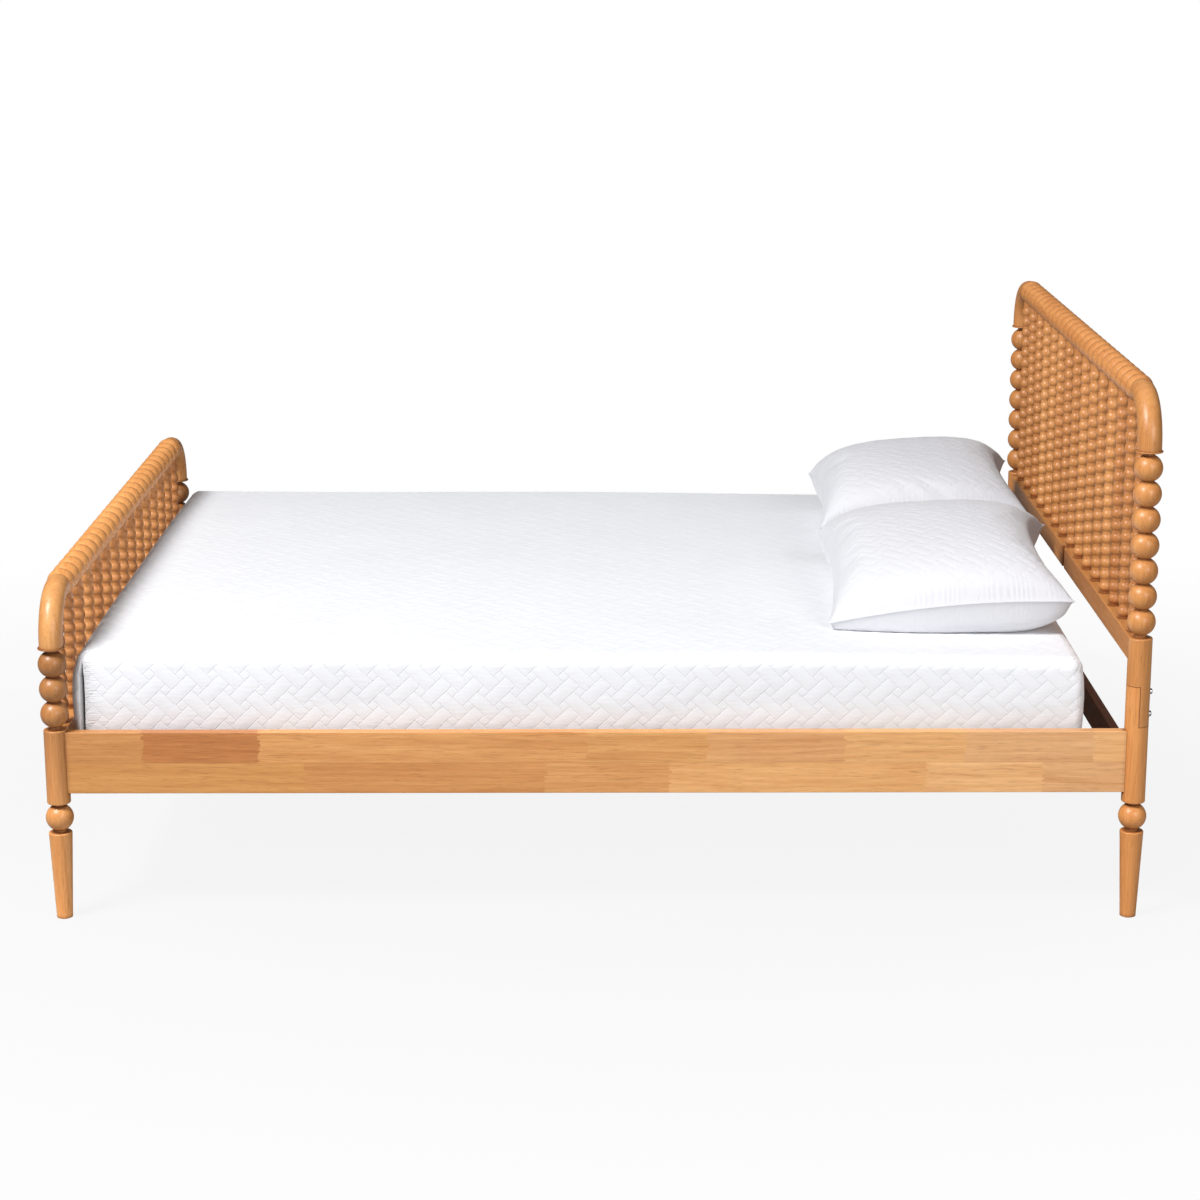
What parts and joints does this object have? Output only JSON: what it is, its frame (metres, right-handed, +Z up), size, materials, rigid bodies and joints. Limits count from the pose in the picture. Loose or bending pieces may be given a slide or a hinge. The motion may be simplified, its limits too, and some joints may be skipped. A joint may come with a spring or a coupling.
{
  "type": "platform bed",
  "caption": "Queen-size platform bed with ball-turned posts, rails and spindles in honey-stained wood, a slatted base, and a white quilted mattress with pillows.",
  "frame": {"origin": "on the floor under the middle of the four posts", "axes": "+X runs along the bed from foot to head, +Y across it to the left as seen from the foot, +Z up"},
  "size_m": [2.1546, 1.6224, 1.0631],
  "materials": {
    "honey_wood": "honey stain under a satin lacquer",
    "dark_wood": "dark brown stain, matte",
    "pine": "bare planed pine",
    "steel": "zinc plated",
    "black_plastic": "fine matte moulding",
    "ticking": "white quilted knit cover",
    "pillow_cover": "white crinkled woven cover"
  },
  "bodies": {
    "bed_frame": {"headboard_top_rail": "honey_wood", "headboard_spindles": "honey_wood", "headboard_bottom_rail": "honey_wood", "headboard_elbow_left": "honey_wood", "headboard_elbow_right": "honey_wood", "headboard_post_left": "honey_wood", "headboard_post_right": "honey_wood", "head_leg_left": "honey_wood", "head_leg_right": "honey_wood", "footboard_top_rail": "honey_wood", "footboard_spindles": "honey_wood", "footboard_bottom_rail": "honey_wood", "footboard_elbow_left": "honey_wood", "footboard_elbow_right": "honey_wood", "foot_post_left": "honey_wood", "foot_post_right": "honey_wood", "side_rail_left": "honey_wood", "side_rail_right": "honey_wood", "head_cross_rail": "dark_wood", "foot_cross_rail": "dark_wood", "centre_beam": "dark_wood", "centre_leg_head": "dark_wood", "centre_leg_foot": "dark_wood", "slat_ledger_left": "dark_wood", "slat_ledger_right": "dark_wood", "slat_01": "pine", "slat_02": "pine", "slat_03": "pine", "slat_04": "pine", "slat_05": "pine", "slat_06": "pine", "slat_07": "pine", "slat_08": "pine", "slat_09": "pine", "slat_10": "pine", "slat_11": "pine", "slat_12": "pine", "slat_13": "pine", "beam_hanger_head": "steel", "beam_hanger_foot": "steel", "centre_leg_bolts": "steel", "rail_studs": "steel", "cross_nuts": "steel", "lap_bolts": "steel", "lap_washers": "steel", "lap_inserts": "steel", "slat_screws": "steel", "post_glides": "black_plastic"},
    "leveller_head": {"leveller_head": "black_plastic"},
    "leveller_foot": {"leveller_foot": "black_plastic"},
    "mattress": {"mattress": "ticking"},
    "pillow_left": {"pillow_left": "pillow_cover"},
    "pillow_right": {"pillow_right": "pillow_cover"}
  },
  "joints": [
    {"name": "mattress_lift", "type": "slide", "parent": "bed_frame", "child": "mattress", "axis": [0, 0, 1], "range_m": [0, 0.4]},
    {"name": "pillow_left_lift", "type": "slide", "parent": "mattress", "child": "pillow_left", "axis": [0, 0, 1], "range_m": [0, 0.3]},
    {"name": "pillow_right_lift", "type": "slide", "parent": "mattress", "child": "pillow_right", "axis": [0, 0, 1], "range_m": [0, 0.3]},
    {"name": "leveller_head_screw", "type": "slide", "parent": "bed_frame", "child": "leveller_head", "axis": [0, 0, 1], "range_m": [-0.012, 0]},
    {"name": "leveller_foot_screw", "type": "slide", "parent": "bed_frame", "child": "leveller_foot", "axis": [0, 0, 1], "range_m": [-0.012, 0]}
  ]
}
